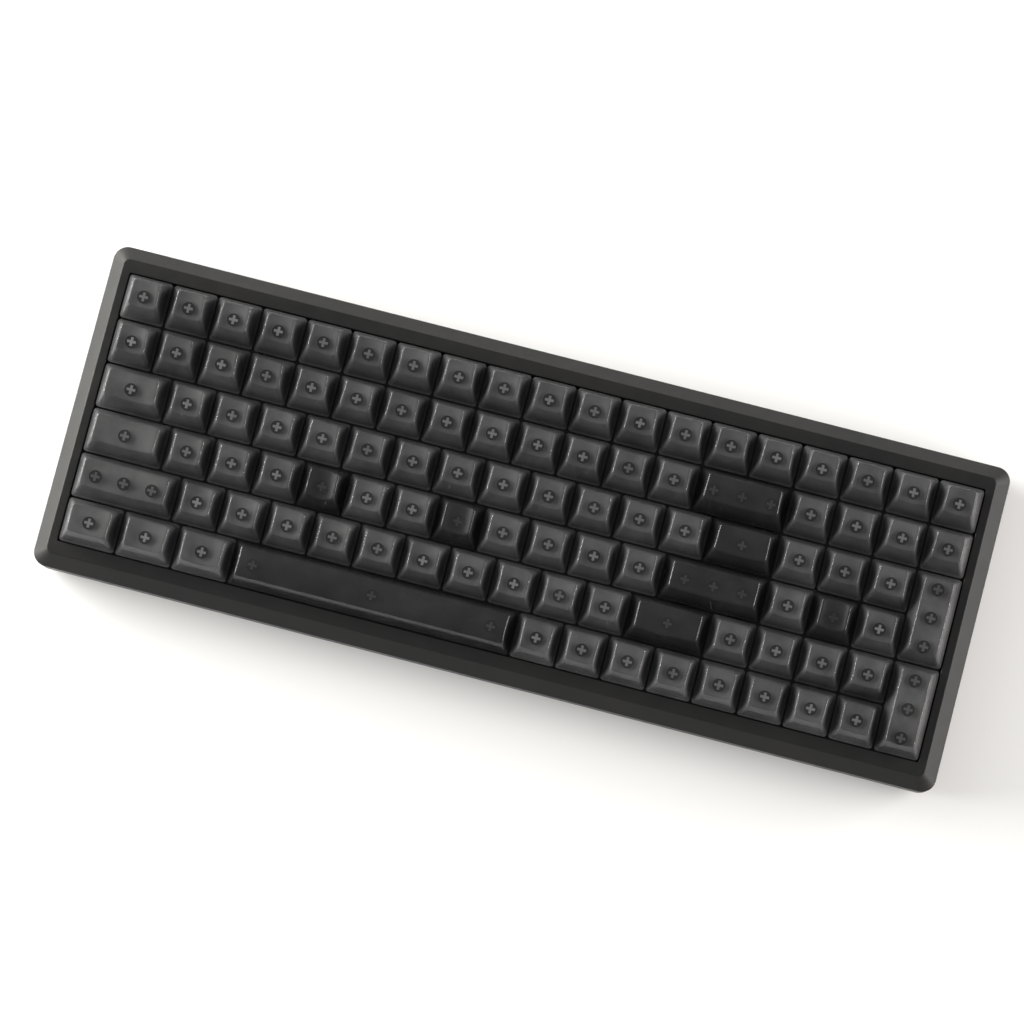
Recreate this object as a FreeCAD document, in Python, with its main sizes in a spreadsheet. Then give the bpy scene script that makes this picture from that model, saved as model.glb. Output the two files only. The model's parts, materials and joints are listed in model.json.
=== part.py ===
"""Compact full-size mechanical keyboard: a flat two-piece plastic case, 100 blank translucent
keycaps on sliding stems in cross-stem switches, a switch plate on a circuit board, wire
stabilisers under the long keys and two fold-out feet.

Millimetres. X runs to the right, Y away from the typist and Z up. The origin is the centre of
the base on the desk. A switch is drawn round its own axis with Z = 0 on the plate's top face.
"""
import FreeCAD, Part
import math
import os
import re
import Sketcher
from FreeCAD import Placement, Rotation, Vector

SIZES = {
    # the key field, in units of one key
    "key_pitch": 19.05,
    "field_columns": 19,
    "field_rows": 6,
    # the case
    "side_margin": 9.2,
    "end_margin": 11.2,
    "field_clearance": 0.15,
    "case_corner": 6.0,
    "rim_corner": 2.6,
    "opening_corner": 0.8,
    "side_bevel": 5.6,
    "end_bevel": 5.7,
    "bevel_drop": 6.0,
    "case_wall": 2.5,
    "frame_inner_wall": 2.0,
    "floor_thickness": 3.0,
    "bottom_edge_chamfer": 1.2,
    "seam_height": 8.0,
    "lip_height": 1.5,
    "lip_wall": 1.2,
    "lip_clearance": 0.2,
    "foot_pad_height": 2.0,
    "rim_above_plate": 6.5,
    # the stack of plate and circuit board
    "board_above_floor": 4.5,
    "board_thickness": 1.6,
    "board_to_plate_top": 5.0,
    "plate_thickness": 1.5,
    "stack_clearance": 0.35,
    "switch_cutout": 14.0,
    # keycaps
    "key_gap": 0.7,
    "cap_above_plate": 6.1,
    "cap_wall": 1.3,
    "cap_roof": 2.0,
    "cap_corner": 1.0,
    "crown_allowance": 1.5,
    "crown_side_inset": 3.5,
    "dish_depth": 0.8,
    "homing_dish_depth": 1.5,
    "space_crown_rise": 0.9,
    "boss_wall": 0.7,
    "boss_lift": 0.1,
    # the cross that a cap presses onto
    "cross_span": 4.1,
    "cross_arm": 1.2,
    "cross_clearance": 0.02,
    "cross_height": 3.8,
    "cross_tip_clearance": 0.3,
    # the switch
    "cutout_clearance": 0.1,
    "flange_overhang": 0.85,
    "flange_thickness": 1.0,
    "housing_side_wall": 1.2,
    "housing_floor": 1.5,
    "housing_rise": 6.6,
    "housing_top_width": 12.0,
    "housing_top_depth": 10.0,
    "housing_wall": 1.2,
    "housing_edge_wall": 1.6,
    "slider_width": 7.2,
    "slider_depth": 5.6,
    "slider_clearance": 0.2,
    "slider_wing": 9.0,
    "slider_height": 4.9,
    "spring_clearance": 0.2,
    "slider_pocket_depth": 3.0,
    "pole_radius": 1.3,
    "pole_length": 6.8,
    "pole_clearance": 0.15,
    "tube_wall": 0.35,
    "tube_height": 2.2,
    "post_radius": 2.0,
    "post_clearance": 0.05,
    "post_length": 3.3,
    "post_tip": 0.4,
    "spring_radius": 2.1,
    "spring_wire": 0.3,
    "pin_radius": 0.5,
    "pin_clearance": 0.1,
    "pin_length": 5.2,
    "contact_width": 3.2,
    "contact_thickness": 0.4,
    "contact_height": 3.8,
    "contact_set_back": 0.6,
    # stabilisers
    "short_stabiliser_reach": 11.938,
    "long_stabiliser_reach": 50.0,
    "stabiliser_width": 7.0,
    "stabiliser_depth": 13.0,
    "stabiliser_rise": 2.3,
    "stabiliser_clearance": 0.2,
    "insert_width": 4.8,
    "insert_depth": 8.2,
    "insert_drop": 0.7,
    "wire_radius": 0.7,
    "wire_side_clearance": 0.3,
    "wire_slot_height": 2.8,
    "wire_end_room": 1.3,
    "wire_room": 0.3,
    "wire_arm": 8.0,
    "wire_drop": 2.4,
    "wire_rest_rise": 2.4,
    # fasteners
    "case_screw_radius": 1.2,
    "case_screw_head_radius": 2.3,
    "case_screw_head": 1.6,
    "case_screw_length": 9.0,
    "case_boss_wall": 1.8,
    "board_screw_radius": 1.2,
    "board_screw_head_radius": 2.2,
    "board_screw_head": 1.6,
    "board_screw_length": 5.6,
    "standoff_wall": 1.5,
    "screw_clearance": 0.1,
    "thread_clearance": 0.05,
    "driver_hole_radius": 1.6,
    "screw_socket_radius": 0.9,
    # the socket for the lead's plug
    "usb_from_centre": 120.0,
    "usb_width": 8.94,
    "usb_height": 3.26,
    "usb_depth": 7.35,
    "usb_shell": 0.3,
    "usb_corner": 1.3,
    "usb_back_wall": 1.2,
    "usb_tongue_width": 6.6,
    "usb_tongue_height": 0.7,
    "usb_tongue_length": 4.6,
    "plug_width": 13.0,
    "plug_height": 7.2,
    "board_tab_width": 18.0,
    # small parts of the circuit board
    "chip_side": 10.0,
    "chip_height": 1.4,
    "chip_corner": 0.3,
    "diode_length": 2.7,
    "diode_width": 1.6,
    "diode_height": 1.1,
    # feet
    "pad_length": 30.0,
    "pad_width": 7.0,
    "pad_corner": 1.75,
    "pad_clearance": 0.2,
    "pad_recess": 0.4,
    "pad_from_centre": 118.0,
    "foot_from_centre": 150.0,
    "foot_axis_from_rear": 17.65,
    "foot_width": 22.0,
    "foot_length": 20.0,
    "foot_thickness": 3.0,
    "foot_well_clearance": 0.3,
    "foot_pin_radius": 1.0,
    "foot_pin_length": 1.2,
    "foot_pin_clearance": 0.05,
    "foot_tip_thickness": 1.2,
    "foot_tip_inset": 1.0,
    "foot_tip_step": 0.2,
    "foot_window_width": 11.0,
    "foot_window_length": 6.6,
    "well_wall": 1.6,
    # how far a cutting tool reaches past what it cuts, and a joined piece into its neighbour
    "overshoot": 1.0,
    "embedding": 0.5,
}

# each row's profile: height of the dish over the skirt, backward tilt in degrees, and how far
# the crown stands in from the skirt at the front and at the rear
ROW_PROFILES = {
    "function": (10.2, 8.0, 6.2, 2.7),
    "number": (10.2, 8.0, 6.0, 2.7),
    "upper": (9.2, 4.0, 5.8, 2.7),
    "home": (8.7, 0.0, 5.4, 2.8),
    "lower": (8.9, -3.0, 5.0, 2.9),
    "bottom": (9.1, -5.0, 4.7, 3.0),
}

# rows from the rear to the front: profile, then (key, width in units)
ONE = 1.0
ROWS = (
    ("function", [(k, ONE) for k in (
        "esc f1 f2 f3 f4 f5 f6 f7 f8 f9 f10 f11 f12 print delete home end page_up page_down").split()]),
    ("number", [(k, ONE) for k in "grave 1 2 3 4 5 6 7 8 9 0 minus equals".split()]
        + [("backspace", 2.0)]
        + [(k, ONE) for k in "num_lock num_divide num_multiply num_minus".split()]),
    ("upper", [("tab", 1.5)]
        + [(k, ONE) for k in "q w e r t y u i o p left_bracket right_bracket".split()]
        + [("backslash", 1.5)] + [(k, ONE) for k in "num_7 num_8 num_9".split()]),
    ("home", [("caps_lock", 1.75)]
        + [(k, ONE) for k in "a s d f g h j k l semicolon quote".split()]
        + [("enter", 2.25)] + [(k, ONE) for k in "num_4 num_5 num_6".split()]),
    ("lower", [("left_shift", 2.25)]
        + [(k, ONE) for k in "z x c v b n m comma period slash".split()]
        + [("right_shift", 1.75)] + [(k, ONE) for k in "up num_1 num_2 num_3".split()]),
    ("bottom", [("left_ctrl", 1.25), ("left_win", 1.25), ("left_alt", 1.25), ("space", 6.25)]
        + [(k, ONE) for k in "right_alt fn right_ctrl left down right num_0 num_period".split()]),
)
# keys two units tall at the right-hand end: profile, row boundary that they straddle
TALL_KEYS = {"numpad_plus": ("home", 3), "numpad_enter": ("lower", 5)}
HOMING_KEYS = ("f", "j", "num_5")
STABILISED = ("backspace", "enter", "left_shift", "space", "numpad_plus", "numpad_enter")
SINGLE_KEYS = tuple("qwertyuiopasdfghjklzxcvbnm") + STABILISED + ("right_shift",)
KEY_GROUPS = {
    "function_row_keys": [k for k, _ in ROWS[0][1]],
    "number_and_symbol_keys": (
        "grave 1 2 3 4 5 6 7 8 9 0 minus equals left_bracket right_bracket backslash "
        "semicolon quote comma period slash").split(),
    "modifier_keys": "tab caps_lock left_ctrl left_win left_alt right_alt fn right_ctrl".split(),
    "arrow_keys": "up left down right".split(),
    "numpad_keys": (
        "num_lock num_divide num_multiply num_minus num_7 num_8 num_9 num_4 num_5 num_6 "
        "num_1 num_2 num_3 num_0 num_period").split(),
}
# places between rows of switches, in units from the field's rear left corner
BOARD_SCREWS = ((3.2, 1), (9.5, 1), (15.8, 1), (1.6, 3), (9.6, 3), (16, 3),
                (2.6, 5), (10.5, 5), (16.5, 5))
CASE_SCREWS_FROM_CENTRE = (57.0, 170.0)
# the two pins of a switch and its diode, from its axis
SWITCH_PINS = ((-3.81, 2.54), (2.54, 5.08))
DIODE_PLACE = (-5.5, -4.2)
CHIP_PLACE = (4.97, 1.1)

doc = FreeCAD.newDocument("Keyboard")
sheet = doc.addObject("Spreadsheet::Sheet", "Sizes")
for line, (alias, value) in enumerate(SIZES.items(), start=1):
    sheet.set(f"A{line}", alias)
    sheet.set(f"B{line}", str(value))
    sheet.setAlias(f"B{line}", alias)
doc.recompute()


# ---- sizes and simple solids -----------------------------------------------------------------

def size(alias):
    return float(sheet.get(alias))


def bound(formula):
    """A formula of the sheet's cells, as an expression. A function's name, as abs(, stays."""
    return re.sub(r"[a-z][a-z_]+(?![a-z_(])", lambda word: "Sizes." + word.group(), str(formula))


def follow(thing, **formulas):
    for name, formula in formulas.items():
        thing.setExpression(name, bound(formula))


def put(thing, place):
    for axis, formula in zip("xyz", place):
        thing.setExpression("Placement.Base." + axis, bound(formula))
    return thing


def block(name, sides, base=(0, 0, 0)):
    """A box centred on X and Y over the point base."""
    made = doc.addObject("Part::Box", name)
    follow(made, Length=sides[0], Width=sides[1], Height=sides[2])
    return put(made, (f"({base[0]}) - ({sides[0]}) / 2", f"({base[1]}) - ({sides[1]}) / 2", base[2]))


def rod(name, radius, height, base=(0, 0, 0)):
    made = doc.addObject("Part::Cylinder", name)
    follow(made, Radius=radius, Height=height)
    return put(made, base)


def join(name, *pieces):
    made = doc.addObject("Part::MultiFuse", name)
    made.Shapes = list(pieces)
    return made


def cut(name, base, *tools):
    made = doc.addObject("Part::Cut", name)
    made.Base = base
    made.Tool = tools[0] if len(tools) == 1 else join(name + "_tools", *tools)
    return made


def frustum(name, low, high, height, base=(0, 0, 0)):
    """A block that narrows upwards. low and high are (left, right, front, rear) from the axis."""
    made = doc.addObject("Part::Wedge", name)
    follow(made, Xmin=f"-({low[0]})", Xmax=low[1], Zmin=f"-({low[3]})", Zmax=low[2],
           X2min=f"-({high[0]})", X2max=high[1], Z2min=f"-({high[3]})", Z2max=high[2],
           Ymin=0, Ymax=height)
    made.Placement.Rotation = Rotation(Vector(1, 0, 0), 90)
    return put(made, base)


def even(width, depth):
    """The four sides of a rectangle from its middle."""
    return tuple(f"({side}) / 2" for side in (width, width, depth, depth))


def rounded(name, base, radius, wanted):
    """A fillet of the edges that wanted picks."""
    doc.recompute()
    made = doc.addObject("Part::Fillet", name)
    made.Base = base
    made.Edges = [(n, radius, radius) for n, edge in enumerate(base.Shape.Edges, 1) if wanted(edge)]
    return made


def copies(label, spots):
    """One sub-part of many separate solids. spots are (master object, place)."""
    doc.recompute()
    made = doc.addObject("Part::Feature", label)
    solids = []
    for master, place in spots:
        for part in master.Shape.Solids:
            moved = part.copy()
            moved.Placement = place.multiply(moved.Placement)
            solids.append(moved)
    made.Shape = Part.makeCompound(solids)
    sub_parts[label] = made


def named(label, thing):
    thing.Label = label
    sub_parts[label] = thing
    return thing


sub_parts = {}

# ---- heights that the stack of pieces gives ---------------------------------------------------
FLOOR_TOP = "foot_pad_height + floor_thickness"
BOARD_BOTTOM = FLOOR_TOP + " + board_above_floor"
BOARD_TOP = BOARD_BOTTOM + " + board_thickness"
PLATE_TOP = BOARD_TOP + " + board_to_plate_top"
RIM_TOP = PLATE_TOP + " + rim_above_plate"
FIELD_WIDTH = "key_pitch * field_columns"
FIELD_DEPTH = "key_pitch * field_rows"
CASE_WIDTH = FIELD_WIDTH + " + 2 * side_margin"
CASE_DEPTH = FIELD_DEPTH + " + 2 * end_margin"
board_bottom = size("foot_pad_height") + size("floor_thickness") + size("board_above_floor")
board_top = board_bottom + size("board_thickness")
plate_top = board_top + size("board_to_plate_top")
pitch = size("key_pitch")


def spot(column, row):
    """The place on the field of a point given in units from its rear left corner."""
    return ((column - size("field_columns") / 2) * pitch, (size("field_rows") / 2 - row) * pitch)


def standing(x, y, z, turn=0):
    return Placement(Vector(x, y, z), Rotation(Vector(0, 0, 1), turn))


def key_places():
    """{key: (x, y, units wide, units deep, profile)}"""
    found = {}
    for number, (profile, keys) in enumerate(ROWS):
        column = 0.0
        for key, wide in keys:
            found[key] = (*spot(column + wide / 2, number + 0.5), wide, 1, profile)
            column += wide
    for key, (profile, boundary) in TALL_KEYS.items():
        found[key] = (*spot(size("field_columns") - 0.5, boundary), 1, 2, profile)
    return found


KEYS = key_places()


# ---- the case ---------------------------------------------------------------------------------

def plane(body, role="XY_Plane"):
    return next(f for f in body.Origin.OriginFeatures if f.Role == role)


def worked_out(*formulas):
    """The three lengths that formulas of the sheet's cells come to."""
    gauge = doc.addObject("Part::Box", "gauge")
    follow(gauge, **dict(zip(("Length", "Width", "Height"), formulas)))
    gauge.recompute()
    lengths = [gauge.Length.Value, gauge.Width.Value, gauge.Height.Value]
    doc.removeObject(gauge.Name)
    return lengths


def rounded_rectangle(body, name, width, depth, corner, level):
    """A sketch of a centred rectangle with round corners, at a height, bound to the sheet."""
    sketch = body.newObject("Sketcher::SketchObject", name)
    sketch.AttachmentSupport = (plane(body), [""])
    sketch.MapMode = "FlatFace"
    w, d, r = worked_out(f"({width}) / 2 - ({corner})", f"({depth}) / 2 - ({corner})", corner)
    lines = (((-w, -d - r), (w, -d - r)), ((w + r, -d), (w + r, d)),
             ((w, d + r), (-w, d + r)), ((-w - r, d), (-w - r, -d)))
    centres = ((w, -d), (w, d), (-w, d), (-w, -d))
    for side, (start, end) in enumerate(lines):
        sketch.addGeometry(Part.LineSegment(Vector(*start), Vector(*end)))
        arc = Part.Circle(Vector(*centres[side]), Vector(0, 0, 1), r)
        sketch.addGeometry(Part.ArcOfCircle(arc, (side - 1) * math.pi / 2, side * math.pi / 2))
    for side in range(4):
        line, arc, following = 2 * side, 2 * side + 1, (2 * side + 2) % 8
        sketch.addConstraint(Sketcher.Constraint("Tangent", line, 2, arc, 1))
        sketch.addConstraint(Sketcher.Constraint("Tangent", arc, 2, following, 1))
        sketch.addConstraint(Sketcher.Constraint("Vertical" if side % 2 else "Horizontal", line))
        if side:
            sketch.addConstraint(Sketcher.Constraint("Equal", 1, arc))
    sketch.addConstraint(Sketcher.Constraint("Symmetric", 0, 1, 4, 1, -1, 1))
    for kind, first, last, formula in (("DistanceX", 6, 2, width), ("DistanceY", 0, 4, depth)):
        drawn = 2 * ((w if kind == "DistanceX" else d) + r)
        number = sketch.addConstraint(Sketcher.Constraint(kind, first, 1, last, 1, drawn))
        sketch.renameConstraint(number, "across" if kind == "DistanceX" else "along")
        sketch.setExpression(f"Constraints[{number}]", bound(formula))
    number = sketch.addConstraint(Sketcher.Constraint("Radius", 1, r))
    sketch.setExpression(f"Constraints[{number}]", bound(corner))
    sketch.setExpression("AttachmentOffset.Base.z", bound(level))
    return sketch


def grow(body, kind, name, sketch, **formulas):
    """A Pad or Pocket of a sketch."""
    feature = body.newObject("PartDesign::" + kind, name)
    feature.Profile = sketch
    follow(feature, **formulas)
    sketch.Visibility = False
    return feature


def shell_body(label, sections):
    """A PartDesign body; sections are (kind, name, rectangle, height, downwards)."""
    body = doc.addObject("PartDesign::Body", label)
    for kind, name, rectangle, height, down in sections:
        sketch = rounded_rectangle(body, name + "_outline", *rectangle)
        feature = grow(body, kind, name, sketch, Length=height)
        feature.Reversed = down
        doc.recompute()
    return body


def inside(width, gap):
    return f"{width} - 2 * ({gap})"


# the middle of the hollow rail at the front or rear, from the case's middle
RAIL_MIDDLE = f"({CASE_DEPTH}) / 2 - case_wall - (end_margin - case_wall - frame_inner_wall) / 2"


def at_case_screws(name, radius, height, z):
    """Round bars at the eight case screws, in the middle of the hollow rails."""
    return [rod(f"{name}_{n}", radius, height, (f"{sx} * {x}", f"{sy} * ({RAIL_MIDDLE})", z))
            for n, (x, sx, sy) in enumerate(
                (x, sx, sy) for x in CASE_SCREWS_FROM_CENTRE for sx in (-1, 1) for sy in (-1, 1))]


def at_board_screws(name, radius, height, z):
    return [rod(f"{name}_{n}", radius, height,
                (f"({column} - field_columns / 2) * key_pitch",
                 f"(field_rows / 2 - {row}) * key_pitch", z))
            for n, (column, row) in enumerate(BOARD_SCREWS)]


def top_frame():
    outer = (CASE_WIDTH, CASE_DEPTH, "case_corner")
    rim = (inside(CASE_WIDTH, "side_bevel"), inside(CASE_DEPTH, "end_bevel"), "rim_corner")
    shoulder = RIM_TOP + " - bevel_drop"
    body = shell_body("frame_shell", [
        ("Pad", "side_wall", (*outer, "seam_height"), f"{shoulder} - seam_height", False)])
    low = rounded_rectangle(body, "bevel_foot", *outer, shoulder)
    high = rounded_rectangle(body, "bevel_crest", *rim, RIM_TOP)
    bevel = body.newObject("PartDesign::AdditiveLoft", "bevel")
    bevel.Profile = low
    bevel.Sections = [high]
    bevel.Ruled = True
    doc.recompute()
    opening = rounded_rectangle(
        body, "opening_outline", FIELD_WIDTH + " + 2 * field_clearance",
        FIELD_DEPTH + " + 2 * field_clearance", "opening_corner", RIM_TOP)
    grow(body, "Pocket", "opening", opening, Length=RIM_TOP)
    doc.recompute()
    # the hollow rails are a ring between the outer wall and the wall round the keys
    hollow = cut(
        "rail_hollow",
        block("rail_outer", (inside(CASE_WIDTH, "case_wall"), inside(CASE_DEPTH, "case_wall"),
                             f"{shoulder} - seam_height + overshoot"),
              (0, 0, "seam_height - overshoot")),
        block("rail_inner", (FIELD_WIDTH + " + 2 * field_clearance + 2 * frame_inner_wall",
                             FIELD_DEPTH + " + 2 * field_clearance + 2 * frame_inner_wall",
                             RIM_TOP), (0, 0, 0)))
    bosses = at_case_screws("case_boss", "case_screw_radius + case_boss_wall",
                            f"{shoulder} - ({FLOOR_TOP})", FLOOR_TOP)
    pilots = at_case_screws("case_pilot", "case_screw_radius + thread_clearance",
                            "case_screw_length", FLOOR_TOP)
    board_recess = block(
        "board_tab_recess",
        ("board_tab_width + 2 * stack_clearance", "end_margin - case_wall + overshoot",
         "board_to_plate_top + board_thickness"),
        ("-usb_from_centre",
         f"({CASE_DEPTH}) / 2 - case_wall - (end_margin - case_wall + overshoot) / 2",
         BOARD_BOTTOM + " - 2 * lip_clearance"))
    plug_port = block(
        "plug_port", ("plug_width", "2 * case_wall + overshoot", "plug_height"),
        ("-usb_from_centre", f"({CASE_DEPTH}) / 2 - case_wall / 2",
         f"{BOARD_TOP} + usb_height / 2 - plug_height / 2"))
    railed = cut("railed_frame", body, hollow)
    return named("top_frame", cut("top_frame", join("bossed_frame", railed, *bosses),
                                  *pilots, board_recess, plug_port))


def foot_axis_y():
    return f"({CASE_DEPTH}) / 2 - foot_axis_from_rear"


FOOT_AXIS_Z = "foot_pad_height + foot_well_clearance + foot_thickness / 2"
# the well reaches one clearance past the foot's round end, its sides and its rubber tip
WELL_LENGTH = "foot_length + foot_thickness / 2 + foot_tip_thickness + 3 * foot_well_clearance"
WELL_DEPTH = "foot_thickness + 2 * foot_well_clearance"


def at_feet(make):
    return [make(side) for side in (-1, 1)]


def well_middle():
    return (f"{foot_axis_y()} + foot_thickness / 2 + 2 * foot_well_clearance"
            f" - ({WELL_LENGTH}) / 2")


def bottom_case():
    outer = (CASE_WIDTH, CASE_DEPTH, "case_corner")
    body = shell_body("tray_shell", [
        ("Pad", "tray", (*outer, "foot_pad_height"), "seam_height - foot_pad_height", False),
        ("Pad", "lip", (inside(CASE_WIDTH, "case_wall + lip_clearance"),
                        inside(CASE_DEPTH, "case_wall + lip_clearance"),
                        "case_corner - case_wall", "seam_height"), "lip_height", False),
        ("Pocket", "tray_hollow", (inside(CASE_WIDTH, "case_wall + lip_clearance + lip_wall"),
                                   inside(CASE_DEPTH, "case_wall + lip_clearance + lip_wall"),
                                   "case_corner - case_wall - lip_wall",
                                   "seam_height + lip_height"),
         f"seam_height + lip_height - ({FLOOR_TOP})", False)])
    tray = body.Tip
    low = size("foot_pad_height")
    names = [f"Edge{n}" for n, edge in enumerate(tray.Shape.Edges, 1)
             if all(abs(v.Z - low) < 1e-6 for v in edge.Vertexes)]
    chamfer = body.newObject("PartDesign::Chamfer", "bottom_edge")
    chamfer.Base = (tray, names)
    follow(chamfer, Size="bottom_edge_chamfer")
    doc.recompute()

    def well(side):
        return block(f"well_box_{side}", ("foot_width + 2 * (foot_well_clearance + well_wall)",
                                          f"{WELL_LENGTH} + 2 * well_wall",
                                          f"{WELL_DEPTH} + well_wall"),
                     (f"{side} * foot_from_centre", well_middle(), "foot_pad_height"))

    def well_hollow(side):
        return block(f"well_hollow_{side}", ("foot_width + 2 * foot_well_clearance", WELL_LENGTH,
                                             f"{WELL_DEPTH} + overshoot"),
                     (f"{side} * foot_from_centre", well_middle(), "foot_pad_height - overshoot"))

    def pivot(side):
        length = "foot_width + 2 * (foot_well_clearance + foot_pin_length)"
        made = rod(f"pivot_hole_{side}", "foot_pin_radius + foot_pin_clearance", length,
                   (f"{side} * foot_from_centre - ({length}) / 2", foot_axis_y(), FOOT_AXIS_Z))
        made.Placement.Rotation = Rotation(Vector(0, 1, 0), 90)
        return made

    standoffs = at_board_screws("standoff", "board_screw_radius + standoff_wall",
                                "board_above_floor", FLOOR_TOP)
    threads = at_board_screws("standoff_bore", "board_screw_radius + thread_clearance",
                              "board_above_floor", FLOOR_TOP)
    holes = at_case_screws("case_hole", "case_screw_radius + screw_clearance",
                           "floor_thickness", "foot_pad_height")
    sinks = at_case_screws("head_sink", "case_screw_head_radius + screw_clearance",
                           "case_screw_head + screw_clearance", "foot_pad_height")
    boss_room = at_case_screws("boss_room", "case_screw_radius + case_boss_wall + lip_clearance",
                               "seam_height + lip_height", FLOOR_TOP)
    recesses = [block(f"pad_recess_{x}_{y}",
                      ("pad_length + 2 * pad_clearance", "pad_width + 2 * pad_clearance",
                       "pad_recess"), (f"{x} * pad_from_centre", pad_y(y), "foot_pad_height"))
                for x in (-1, 1) for y in (-1, 1)]
    # the lip stops where the circuit board's tab crosses it
    gap = block("lip_gap", ("board_tab_width + 2 * stack_clearance",
                            "2 * (lip_clearance + lip_wall) + overshoot",
                            "lip_height + overshoot"),
                ("-usb_from_centre", f"({CASE_DEPTH}) / 2 - case_wall - lip_clearance",
                 "seam_height"))
    built = join("tray_with_bosses", body, *at_feet(well), *standoffs)
    return named("bottom_case", cut("bottom_case", built, *threads, *holes, *sinks, *recesses,
                                    *boss_room, *at_feet(well_hollow), *at_feet(pivot), gap))


def pad_y(side):
    return f"{side} * (({CASE_DEPTH}) / 2 - pad_width)"


def rubber_feet():
    pads = [block(f"pad_{x}_{y}", ("pad_length", "pad_width", "foot_pad_height + pad_recess"),
                  (f"{x} * pad_from_centre", pad_y(y), 0)) for x in (-1, 1) for y in (-1, 1)]
    copies("rubber_feet", [
        (rounded(f"round_{pad.Name}", pad, size("pad_corner"),
                 lambda edge: abs(edge.tangentAt(edge.FirstParameter).z) > 0.9), Placement())
        for pad in pads])


def tilt_foot(label, side):
    """A folded foot: a plate that hangs on two pins at its rear end, with a rubber tip."""
    x = f"{side} * foot_from_centre"
    plate = block(label + "_plate", ("foot_width", "foot_length", "foot_thickness"),
                  (x, f"{foot_axis_y()} - foot_length / 2", f"{FOOT_AXIS_Z} - foot_thickness / 2"))
    knuckle = rod(label + "_knuckle", "foot_thickness / 2", "foot_width",
                  (f"{x} - foot_width / 2", foot_axis_y(), FOOT_AXIS_Z))
    reach = "foot_width + 2 * foot_pin_length"
    pins = rod(label + "_pins", "foot_pin_radius", reach,
               (f"{x} - ({reach}) / 2", foot_axis_y(), FOOT_AXIS_Z))
    for turned in (knuckle, pins):
        turned.Placement.Rotation = Rotation(Vector(0, 1, 0), 90)
    window = block(label + "_window", ("foot_window_width", "foot_window_length",
                                       "foot_thickness + 2 * overshoot"),
                   (x, f"{foot_axis_y()} - foot_length / 2",
                    f"{FOOT_AXIS_Z} - foot_thickness / 2 - overshoot"))
    tip = block(label + "_tip", ("foot_width - 2 * foot_tip_inset", "foot_tip_thickness",
                                 "foot_thickness - 2 * foot_tip_step"),
                (x, f"{foot_axis_y()} - foot_length - foot_tip_thickness / 2",
                 f"{FOOT_AXIS_Z} - foot_thickness / 2 + foot_tip_step"))
    leg = cut(label + "_leg", join(label + "_blank", plate, knuckle, pins), window)
    copies(label, [(leg, Placement()), (tip, Placement())])


# ---- plate, circuit board and what is on it ---------------------------------------------------

def stabiliser_reach(key):
    return size("long_stabiliser_reach" if key == "space" else "short_stabiliser_reach")


def stabiliser_places(z=0.0):
    """(key, place) of each stabiliser housing, with its wire on its own front side."""
    found = []
    for key in STABILISED:
        x, y, wide, deep, _ = KEYS[key]
        turn = -90 if deep > wide else 0
        for side in (-1, 1):
            away = Rotation(Vector(0, 0, 1), turn).multVec(Vector(side * stabiliser_reach(key), 0, 0))
            found.append((key, standing(x + away.x, y + away.y, z, turn)))
    return found


def switch_places(z):
    return [standing(x, y, z) for x, y, *_ in KEYS.values()]


def switch_plate():
    blank = block("plate_blank", (inside(FIELD_WIDTH, "stack_clearance"),
                                  inside(FIELD_DEPTH, "stack_clearance"), "plate_thickness"),
                  (0, 0, f"{PLATE_TOP} - plate_thickness"))
    square = block("plate_cutout", ("switch_cutout", "switch_cutout", "3 * plate_thickness"),
                   (0, 0, "-2 * plate_thickness"))
    # a stabiliser's cut-out lets its housing and, in front of that, its wire through
    front = "(wire_arm + wire_radius + wire_room)"
    rear = "(stabiliser_depth / 2 + stabiliser_clearance)"
    slot = block("stabiliser_cutout", ("stabiliser_width + 2 * stabiliser_clearance",
                                       f"{front} + {rear}", "3 * plate_thickness"),
                 (0, f"({rear} - {front}) / 2", "-2 * plate_thickness"))
    doc.recompute()
    holes = doc.addObject("Part::Feature", "plate_holes")
    cutters = [moved_copy(square, place) for place in switch_places(plate_top)]
    cutters += [moved_copy(slot, place) for _, place in stabiliser_places(plate_top)]
    holes.Shape = Part.makeCompound(cutters)
    drivers = at_board_screws("driver_hole", "driver_hole_radius", "3 * plate_thickness",
                              f"{PLATE_TOP} - 2 * plate_thickness")
    return named("switch_plate", cut("switch_plate", cut("cut_plate", blank, holes), *drivers))


def moved_copy(thing, place):
    shape = thing.Shape.copy()
    shape.Placement = place.multiply(shape.Placement)
    return shape


def circuit_board():
    sheet_blank = block("board_blank", (inside(FIELD_WIDTH, "stack_clearance"),
                                        inside(FIELD_DEPTH, "stack_clearance"),
                                        "board_thickness"), (0, 0, BOARD_BOTTOM))
    tab_depth = "end_margin - case_wall - lip_clearance"
    tab = block("board_tab", ("board_tab_width", f"{tab_depth} + overshoot", "board_thickness"),
                ("-usb_from_centre", f"({FIELD_DEPTH} + {tab_depth} - overshoot) / 2", BOARD_BOTTOM))
    post = rod("post_hole", "post_radius + post_clearance", "3 * board_thickness",
               (0, 0, "-2 * board_thickness"))
    pins = [rod(f"board_pin_hole_{n}", "pin_radius + pin_clearance", "3 * board_thickness",
                (x, y, "-2 * board_thickness")) for n, (x, y) in enumerate(SWITCH_PINS)]
    doc.recompute()
    holes = doc.addObject("Part::Feature", "board_holes")
    holes.Shape = Part.makeCompound(
        [moved_copy(tool, place) for place in switch_places(board_top) for tool in (post, *pins)])
    screws = at_board_screws("board_screw_hole", "board_screw_radius + 2 * screw_clearance",
                             "3 * board_thickness", f"{BOARD_BOTTOM} - board_thickness")
    return named("circuit_board", cut(
        "circuit_board", cut("drilled_board", join("board_outline", sheet_blank, tab), holes),
        *screws))


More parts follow.
